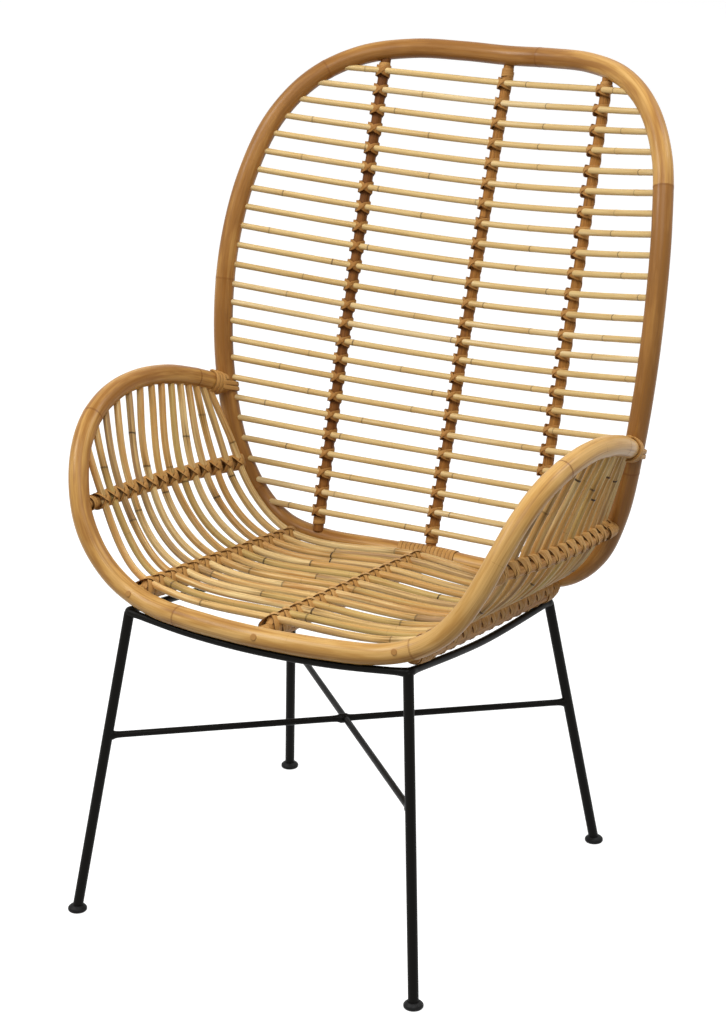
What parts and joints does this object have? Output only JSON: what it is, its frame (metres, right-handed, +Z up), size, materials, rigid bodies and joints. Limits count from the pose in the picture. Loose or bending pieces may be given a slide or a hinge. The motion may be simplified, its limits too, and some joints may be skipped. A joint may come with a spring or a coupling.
{
  "type": "rattan lounge chair",
  "caption": "High-back cane lounge chair: an oval bent-cane back and a bucket seat with arms, filled with thin lashed slats, on a splayed base of black steel rod.",
  "frame": {"origin": "middle of the overall footprint, on the floor", "axes": "+Z up, -Y towards the front of the seat, +X to the right as seen from the front"},
  "size_m": [0.7262, 0.7716, 1.1119],
  "materials": {
    "cane_pole": "satin lacquer",
    "back_slat": "satin lacquer",
    "seat_slat": "satin lacquer",
    "cane_rib": "matt lacquer",
    "split_cane": "satin lacquer",
    "black_steel": "satin powder coat",
    "black_plastic": "moulded matt"
  },
  "bodies": {
    "root": {"back_hoop": "cane_pole", "arm_hoop": "cane_pole", "back_slat_01": "back_slat", "back_slat_02": "back_slat", "back_slat_03": "back_slat", "back_slat_04": "back_slat", "back_slat_05": "back_slat", "back_slat_06": "back_slat", "back_slat_07": "back_slat", "back_slat_08": "back_slat", "back_slat_09": "back_slat", "back_slat_10": "back_slat", "back_slat_11": "back_slat", "back_slat_12": "back_slat", "back_slat_13": "back_slat", "back_slat_14": "back_slat", "back_slat_15": "back_slat", "back_slat_16": "back_slat", "back_slat_17": "back_slat", "back_slat_18": "back_slat", "back_slat_19": "back_slat", "back_slat_20": "back_slat", "back_slat_21": "back_slat", "back_slat_22": "back_slat", "back_slat_23": "back_slat", "back_slat_24": "back_slat", "back_rib_left": "cane_rib", "back_rib_centre": "cane_rib", "back_rib_right": "cane_rib", "base_ring": "black_steel", "seat_slat_01": "seat_slat", "seat_slat_02": "seat_slat", "seat_slat_03": "seat_slat", "seat_slat_04": "seat_slat", "seat_slat_05": "seat_slat", "seat_slat_06": "seat_slat", "seat_slat_07": "seat_slat", "seat_slat_08": "seat_slat", "seat_slat_09": "seat_slat", "seat_slat_10": "seat_slat", "seat_slat_11": "seat_slat", "seat_slat_12": "seat_slat", "seat_slat_13": "seat_slat", "seat_slat_14": "seat_slat", "seat_rib_left": "cane_rib", "seat_rib_centre": "cane_rib", "seat_rib_right": "cane_rib", "side_rib_left": "cane_rib", "side_rib_right": "cane_rib", "arm_lashing_left": "split_cane", "arm_lashing_right": "split_cane", "leg_front_left": "black_steel", "foot_front_left": "black_plastic", "leg_front_right": "black_steel", "foot_front_right": "black_plastic", "leg_rear_right": "black_steel", "foot_rear_right": "black_plastic", "leg_rear_left": "black_steel", "foot_rear_left": "black_plastic", "cross_brace": "black_steel"}
  },
  "joints": []
}
